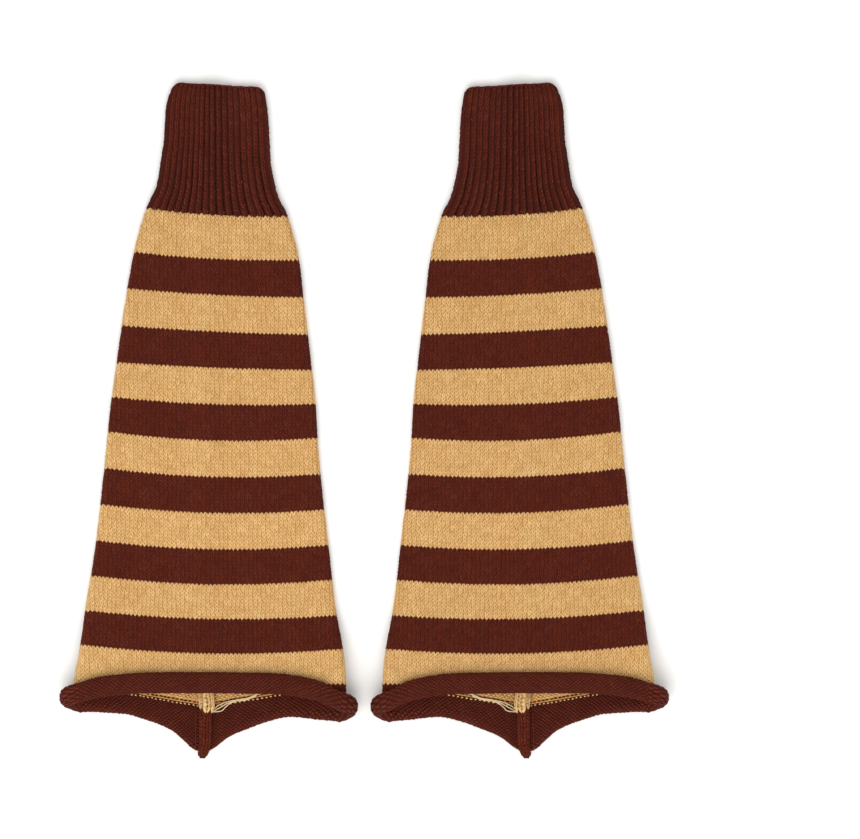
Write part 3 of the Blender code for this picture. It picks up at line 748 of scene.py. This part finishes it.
def cuff_place(rib, y, z):
    down = np.maximum((y + 0.5) * CUFF_COURSE, CUFF_MARGIN)
    rib = np.clip(rib, -RIBS_TO_SEAM, RIBS_TO_SEAM)
    return on_leg(around_of_rib(rib), down, rib_height(rib, down) - RIB_SINK + z)


def every_stitch(wale, row):
    return np.full(len(wale), True)


def cuff_edge_place(rib, y, z):
    down = EDGE_REST + y * CUFF_COURSE * EDGE_FLATNESS
    return on_leg(around_of_rib(rib), down, EDGE_LIFT + z)


ribs_around = 2 * RIBS_TO_SEAM - 1
rib_stitch = v_stitch(RIB_STRAND, RIB_STRAND_BESIDE)
stitches(
    "cuff_stitches", rib_stitch, ribs_around, CUFF_ROWS, every_stitch, cuff_place, brown_yarn, "brown_rib"
)
edge_stitch = bumps(EDGE_STRAND, *EDGE_PLACES)
stitches("cuff_edge", edge_stitch, ribs_around, 1, every_stitch, cuff_edge_place, brown_yarn, "brown_rib")

# ---- Rolled hem. The last band of brown knitting curls outwards on itself, so that the bumpy back of its
# stitches shows. At the centre of the back the seam holds it flat, and the point of the band hangs down.
HEM_ROWS = 13
HEM_COURSE = HEM_BAND / HEM_ROWS
HEM_STEPS = 30
HEM_GROUND = 1.25 * MM
HEM_TOP = 0.5 * MM
BUMP = Strand(0.3, 0.36, -0.7 * MM, -1.25 * MM, math.pi / 2)
BUMP_PLACES = ((-0.25, -0.25), (0.25, 0.25))  # of the two bumps on the back of a stitch
FIRST_BUMPS = 1.1  # from the change of colour to the first row of bumps, in courses
OUTSIDE_ROWS = 12
FRONT_ROWS = 3  # only so many of them show above the roll, but all where the back hangs flat
BACK_FLAT = 0.52  # half width of that flat part by the seam, in sides of the leg

tubes_of_cloth(
    "curled_band",
    around_columns(),
    np.linspace(BODY_END, KNIT_END, HEM_STEPS + 1),
    lambda around, down: np.full_like(down, HEM_TOP),
    HEM_GROUND,
    [brown_ground_painted_shade],
    replaces="rolled_hem",
)


def by_wales(start, course):
    """Lays stitches in the wales of the leg, course by course from a start down the knit."""
    def place(x, y, z):
        down = start + y * course
        return on_leg(around_of(x * WALE, down), down, z)

    return place


def hem_keeps(wale, row):
    return clear_of_seam(wale, BODY_END)


def outside_keeps(wale, row):
    total, flat, _ = half_girth(wale, BODY_END)
    by_seam = np.abs(wale) * WALE > total - BACK_FLAT * flat
    return hem_keeps(wale, row) & ((row < FRONT_ROWS) | by_seam)


hem_bump_place = by_wales(BODY_END + FIRST_BUMPS * HEM_COURSE, HEM_COURSE)
hem_place = by_wales(BODY_END + HEM_COURSE / 2, HEM_COURSE)
hem_edge_place = by_wales(KNIT_END - EDGE_REST, HEM_COURSE * EDGE_FLATNESS)
purl_stitch = bumps(BUMP, *BUMP_PLACES)
stitches(
    "hem_bumps", purl_stitch, MOST_WALES, HEM_ROWS - 1, hem_keeps, hem_bump_place, brown_yarn, "brown_hem"
)
outside = (MOST_WALES, OUTSIDE_ROWS, outside_keeps)
stitches("hem_stitches", knit_stitch(), *outside, hem_place, brown_yarn, "brown_hem")
edge_stitch = bumps(EDGE_STRAND, *EDGE_PLACES)
stitches("hem_edge", edge_stitch, MOST_WALES, 1, hem_keeps, hem_edge_place, brown_yarn, "brown_hem")

# ---- Inside of the last tan stripe. In the mouth the back of the tan knitting shows as rows of purl bumps.
# Where brown yarn takes over, the old loops hang between the new ones: a thin brown line, then tan dots.
INSIDE_ROWS = 7
COLOUR_LINE = -0.45  # in courses past the change of colour
COLOUR_DOTS = 0.4
LINE_BUMP = Strand(0.28, 0.5, BUMP.foot, BUMP.top - 0.02 * MM, math.pi / 2)
DOT_BUMP = LINE_BUMP._replace(half_length=0.3)


def back_keeps(wale, row):
    _, flat, fold = half_girth(wale, BODY_END)
    return hem_keeps(wale, row) & (np.abs(wale) * WALE > flat + fold)


inside_place = by_wales(BODY_END - (INSIDE_ROWS + 0.5) * COURSE, COURSE)
line_place = by_wales(BODY_END, COURSE)
purl_stitch = bumps(BUMP, *BUMP_PLACES)
line_stitch = bumps(LINE_BUMP, (0, COLOUR_LINE))
dot_stitch = bumps(DOT_BUMP, (0, COLOUR_DOTS))
stitches(
    "inside_bumps", purl_stitch, MOST_WALES, INSIDE_ROWS, back_keeps, inside_place, tan_yarn, "striped_knit"
)
stitches("colour_line", line_stitch, MOST_WALES, 1, back_keeps, line_place, brown_yarn, "brown_hem")
stitches("colour_dots", dot_stitch, MOST_WALES, 1, back_keeps, line_place, tan_yarn, "striped_knit")

# ---- Back seam. The two edges of the panel are turned in and sewn together. They make a soft ridge up the
# inside of the back, three columns of stitches wide, that ends in a tab at the point of the hem.
# The ridge in mm: place down the knit, width, height, how far it runs on past there, and how far it sinks.
SeamRow = namedtuple("SeamRow", "down width height past sink")
SEAM_ROWS = [SeamRow(*row) for row in (
    (3, 4.5, 1.6, 0, 0), (5, 7.0, 2.0, 0, 0), (45, 7.5, 2.1, 0, 0), (90, 8.5, 2.3, 0, 0),
    (140, 8.5, 2.4, 0, 0), (205, 8.5, 2.4, 0, 0), (270, 9.0, 2.4, 0, 0), (330, 9.0, 2.5, 0, 0),
    (365, 9.5, 2.6, 0, 0), (390, 10.5, 2.9, 0, 0), (405, 11.0, 3.3, 0, 0), (416, 10.5, 3.4, 0, 0),
    (424, 9.6, 3.2, 0, 0), (434, 9.4, 3.1, 0, 0), (442, 9.2, 3.1, 0, 0), (442, 8.8, 3.1, 5, 0),
    (442, 7.4, 2.8, 8.6, 0.4), (442, 4.4, 1.8, 10.6, 0.8),
)]
SEAM_REACH = 0.05  # how far round the tube to either side of the seam the ridge rests on the cloth
SEAM_SQUARENESS = 0.7  # power that makes its round section somewhat square
SEAM_LEAN = -0.2  # the tab leans to the left
SEAM_SIDES = 16
SEAM_CORE = 0.45 * MM  # how much thinner the core is than the sewn ridge
SEAM_STEP = 4.0 * MM
SEAM_COURSE = 2.5 * MM
# The tan of the last stripe ends on the ridge in two rounded lobes, one of them two columns wide. These are
# the lengths past the change of colour of its three columns of stitches, in mm from left to right.
LOBES = (0.0, 4.6, 4.6)
LOBE_SWELL = 1.1 * MM
LOBE_LENGTH = 9.0 * MM  # of that swell along the ridge
LOBE_VALLEY = 0.5 * MM  # depth of the groove between them
VALLEY_PLACE = -0.5  # in columns from the middle
VALLEY_WIDTH = 0.2
LOBE_ROUNDING = 3.0 * MM  # length over which the ends narrow and sink
LOBE_SINK = 0.5 * MM
LOBE_TAPER = 0.45
LOBE_SHIFT = 0.7 * MM
TAN_TURN = 0.76  # turn round the ridge from one column to the next
BROWN_TURN = 0.8
TAN_STRAND = Strand(0.26, 1.05, -0.8 * MM, 0.1 * MM, 0.12)  # of its long stitches, in columns and courses
BROWN_STRAND = Strand(0.27, 0.85, -0.8 * MM, 0.1 * MM, 0.2)
COLUMN_BESIDE = 0.25
SEAM_START = (SEAM_ROWS[0].down + SEAM_ROWS[0].past) * MM
SEAM_END = (SEAM_ROWS[-1].down + SEAM_ROWS[-1].past) * MM
SEAM_STITCH_ROWS = int((SEAM_END - SEAM_START) / SEAM_COURSE)


def on_ridge(turn, along, height, bulge=0.0):
    """World place on the ridge: turn round its section, length along it and height over its sewn surface.

    bulge is 1 where the ridge is as plump as its lobes, which also lie a little to the right.
    """
    height = height + LOBE_SWELL * bulge
    turn, along, height = np.broadcast_arrays(turn, along, height)
    at = np.array([(row.down + row.past) * MM for row in SEAM_ROWS])
    row = {key: np.interp(along, at, [getattr(r, key) * MM for r in SEAM_ROWS]) for key in SeamRow._fields}
    near = [laid(np.full_like(along, place), row["down"]) for place in (2 - SEAM_REACH, 2.0, SEAM_REACH - 2)]
    floor = np.maximum.reduce([place[..., 2] for place in near]) + WALL / 2 + PIECE_GAP
    round_x = np.sign(np.cos(turn)) * np.abs(np.cos(turn)) ** SEAM_SQUARENESS
    round_z = np.sign(np.sin(turn)) * np.abs(np.sin(turn)) ** SEAM_SQUARENESS
    x = near[1][..., 0] + round_x * (row["width"] / 2 + height) + SEAM_LEAN * row["past"]
    x = x + LOBE_SHIFT * bulge - LEG_SPACING / 2
    y = near[1][..., 1] - row["past"]
    z = floor + row["height"] / 2 + round_z * (row["height"] / 2 + height) - row["sink"]
    return np.stack([x, y, z], axis=-1)


def lobe_bulge(along):
    return np.exp(-(((along - BODY_END) / LOBE_LENGTH) ** 2))


def seam_stripe(along):
    """0 for tan and 1 for brown: the ridge has the stripes of the panel."""
    past = along - CUFF_DEPTH - FIRST_STRIPE
    stripe = np.where(past < 0, 0, 1 + past // STRIPE)
    return np.where((along < CUFF_DEPTH) | (along > BODY_END), 1, stripe % 2)


def seam_core():
    """The core of the ridge, a long grid rolled into a rod and closed at both ends."""
    lengths = np.linspace(SEAM_START, SEAM_END, round((SEAM_END - SEAM_START) / SEAM_STEP) + 1)
    bm = bmesh.new()
    bmesh.ops.create_grid(bm, x_segments=SEAM_SIDES, y_segments=len(lengths) - 1, size=1)
    turn = np.array([(v.co.x + 1) / 2 for v in bm.verts]) * 2 * math.pi
    along = lengths[[round((v.co.y + 1) / 2 * (len(lengths) - 1)) for v in bm.verts]]
    for face in bm.faces:
        middle = (face.calc_center_median().y + 1) / 2 * (SEAM_END - SEAM_START) + SEAM_START
        face.material_index = int(seam_stripe(middle + SEAM_STEP / 2))
    bulge = lobe_bulge(along) * ease((BODY_END - along) / SEAM_STEP)
    for vert, place in zip(bm.verts, on_ridge(turn, along, -SEAM_CORE, bulge)):
        vert.co = place
    bmesh.ops.remove_doubles(bm, verts=bm.verts, dist=SAME_PLACE)
    bmesh.ops.holes_fill(bm, edges=[e for e in bm.edges if e.is_boundary])
    bmesh.ops.recalc_face_normals(bm, faces=bm.faces)
    return new_object("left_seam_ridge", bm, [tan_ground_painted_shade, brown_ground_painted_shade])


both_legs(seam_core(), "back_seam")


def seam_along(row):
    return SEAM_START + (row + 0.5) * SEAM_COURSE


def lobe_of(column):
    """How far past the change of colour the stitches of a column of the ridge run."""
    return np.array(LOBES)[np.clip(np.round(column + 1), 0, 2).astype(int)] * MM


def tan_seam_place(x, y, z):
    along = seam_along(y)
    blunt = ease((BODY_END + lobe_of(x) - along) / LOBE_ROUNDING)
    centre = np.round(x)
    x = centre + (x - centre) * (1 - LOBE_TAPER * (1 - blunt))
    valley = LOBE_VALLEY * np.exp(-(((x - VALLEY_PLACE) / VALLEY_WIDTH) ** 2))
    sunk = valley + LOBE_SINK * (1 - blunt)
    return on_ridge(math.pi / 2 - x * TAN_TURN, along, z - sunk, lobe_bulge(along))


def brown_seam_place(x, y, z):
    return on_ridge(math.pi / 2 - x * BROWN_TURN, seam_along(y), z)


def tan_seam_keeps(column, row):
    last = seam_along(row) > BODY_END - STRIPE
    return np.where(last, seam_along(row) < BODY_END + lobe_of(column), seam_stripe(seam_along(row)) == 0)


def brown_seam_keeps(column, row):
    return seam_stripe(seam_along(row)) == 1


seam_size = (len(LOBES), SEAM_STITCH_ROWS)
tan_column = v_stitch(TAN_STRAND, COLUMN_BESIDE)
stitches("seam_tan", tan_column, *seam_size, tan_seam_keeps, tan_seam_place, tan_yarn, "brown_seam")
brown_column = v_stitch(BROWN_STRAND, COLUMN_BESIDE)
stitches(
    "seam_brown", brown_column, *seam_size, brown_seam_keeps, brown_seam_place, brown_yarn, "brown_seam"
)

# ---- Overlocking. A machine sewed the two turned-in edges together, and a line of its loops shows beside
# the ridge in the mouth. The thread is thinner than the yarn, and a lighter brown.
THREAD_FROM = 2.0 * MM  # past the change of colour
THREAD_STEP = 2.3 * MM
THREAD_ROWS = 12
THREAD_AROUND = -1.935  # middle of the sewing, just left of the ridge
THREAD_REACH = 0.03  # how far round the tube a loop goes
LOOP_OVER = Strand(0.12, 0.6, BUMP.top, -1.75 * MM, math.pi / 2, sides=5)  # over the turned-in edge
LOOP_FOOT = Strand(0.1, 0.56, BUMP.top, -1.75 * MM, 0, sides=5)  # along its foot to the next loop
FOOT_PLACE = (-0.5, 0.5)
# Spun polyester sewing thread: matt, and picked out from the knitting only by its paler brown.
brown_thread = yarn_material("BrownSewingThread", "#7A3B26", "#5A2114")


def thread_place(x, y, z):
    down = BODY_END + THREAD_FROM + y * THREAD_STEP
    return on_leg(THREAD_AROUND - x * THREAD_REACH, np.minimum(down, KNIT_END), z)


thread_loop = bumps(LOOP_OVER, (0, 0))
add_strand(thread_loop, LOOP_FOOT, FOOT_PLACE)
stitches("seam_thread", thread_loop, 1, THREAD_ROWS, every_stitch, thread_place, brown_thread, "brown_seam")

# ---- Yarn ends. Where the tan yarn was cut off inside the mouth, three pale ends were left beside the seam.
# They lie on the back and run up into the leg.
END_RADIUS = 0.37 * MM
END_LIFT = 0.75 * MM
# How far round from the seam the points of each end lie, and how far past the change of colour in mm.
END_BESIDE = (
    (0.03, 0.063, 0.10, 0.127, 0.14, 0.18, 0.245, 0.305, 0.39),
    (0.03, 0.07, 0.095, 0.13, 0.17, 0.245, 0.305, 0.385),
    (0.03, 0.065, 0.10, 0.135, 0.17, 0.22, 0.28, 0.36),
)
END_PAST = (
    (4.8, 5.0, 5.4, 5.0, 3.4, 0.6, -0.4, 0, -2.9),
    (3.6, 2.6, 1.2, 0, -0.7, -0.9, -0.6, -3.4),
    (5.6, 4.2, 3.2, 1.6, 0.2, -0.2, 0.5, -1.2),
)
END_STEPS = 6
END_SMOOTHING = 4
# Acrylic yarn, paler than the tan of the stripes: matt, and the lightest thing in the dark mouth.
cream_yarn = yarn_material("CreamYarn", "#EBD9B4", "#CBB083")


def yarn_end(name, beside, past, flip):
    """A loose end of yarn as a thin round curve."""
    at = np.arange(len(beside))
    fine = np.linspace(0, len(beside) - 1, (len(beside) - 1) * END_STEPS + 1)
    around = 2 - np.interp(fine, at, beside)
    down = BODY_END + np.interp(fine, at, past) * MM
    centre = on_leg(around, down, np.full_like(down, -WALL / 2 - END_LIFT))
    for _ in range(END_SMOOTHING):
        centre[1:-1] = (centre[:-2] + centre[1:-1] * 2 + centre[2:]) / 4
    if flip:
        centre[:, 0] *= -1
    curve = bpy.data.curves.new(name, "CURVE")
    curve.dimensions = "3D"
    curve.bevel_depth = END_RADIUS
    curve.bevel_resolution = 2
    curve.use_fill_caps = True
    line = curve.splines.new("POLY")
    line.points.add(len(centre) - 1)
    line.points.foreach_set("co", np.column_stack([centre, np.ones(len(centre))]).ravel())
    line.use_smooth = True
    curve.materials.append(cream_yarn)
    made = bpy.data.objects.new(name, curve)
    bpy.context.scene.collection.objects.link(made)
    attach(made, "root")


for leg_name, flip in (("left", False), ("right", True)):
    for number, (beside, past) in enumerate(zip(END_BESIDE, END_PAST), 1):
        yarn_end(f"{leg_name}_yarn_end_{number}", beside, past, flip)

# ---- Table top and light. The pair lay on a large sheet of pale paper. One big soft lamp beyond the hems
# gives the faint shade, and the room's light comes evenly from all round.
FLOOR_REACH = 4  # in metres from its middle
FLOOR_HEIGHT = -0.0003
WORLD_STRENGTH = 0.92
LAMP_PLACE = (-0.25, -0.95, 1.4)
LAMP_SIZE = 1.5
LAMP_POWER = 20

floor_mesh = bmesh.new()
bmesh.ops.create_grid(floor_mesh, x_segments=1, y_segments=1, size=FLOOR_REACH)
bmesh.ops.translate(floor_mesh, vec=(0, 0, FLOOR_HEIGHT), verts=floor_mesh.verts)
# Uncoated paper: nearly white, matt and without a pattern that could show from here.
paper = bpy.data.materials.new("PalePaper")
paper.use_nodes = True
paper_shader = paper.node_tree.nodes["Principled BSDF"]
paper_shader.inputs["Base Color"].default_value = linear("#F4F3F1")
paper_shader.inputs["Roughness"].default_value = 0.9
floor = new_object("floor", floor_mesh, [paper])

world = bpy.data.worlds.new("World")
bpy.context.scene.world = world
world.use_nodes = True
world.node_tree.nodes["Background"].inputs["Color"].default_value = (1, 1, 1, 1)
world.node_tree.nodes["Background"].inputs["Strength"].default_value = WORLD_STRENGTH

lamp_data = bpy.data.lights.new("SoftLamp", "AREA")
lamp_data.shape = "SQUARE"
lamp_data.size = LAMP_SIZE
lamp_data.energy = LAMP_POWER
lamp = bpy.data.objects.new("SoftLamp", lamp_data)
lamp.location = LAMP_PLACE
lamp.rotation_euler = (Vector((0, 0, 0)) - lamp.location).to_track_quat("-Z", "Y").to_euler()
bpy.context.scene.collection.objects.link(lamp)
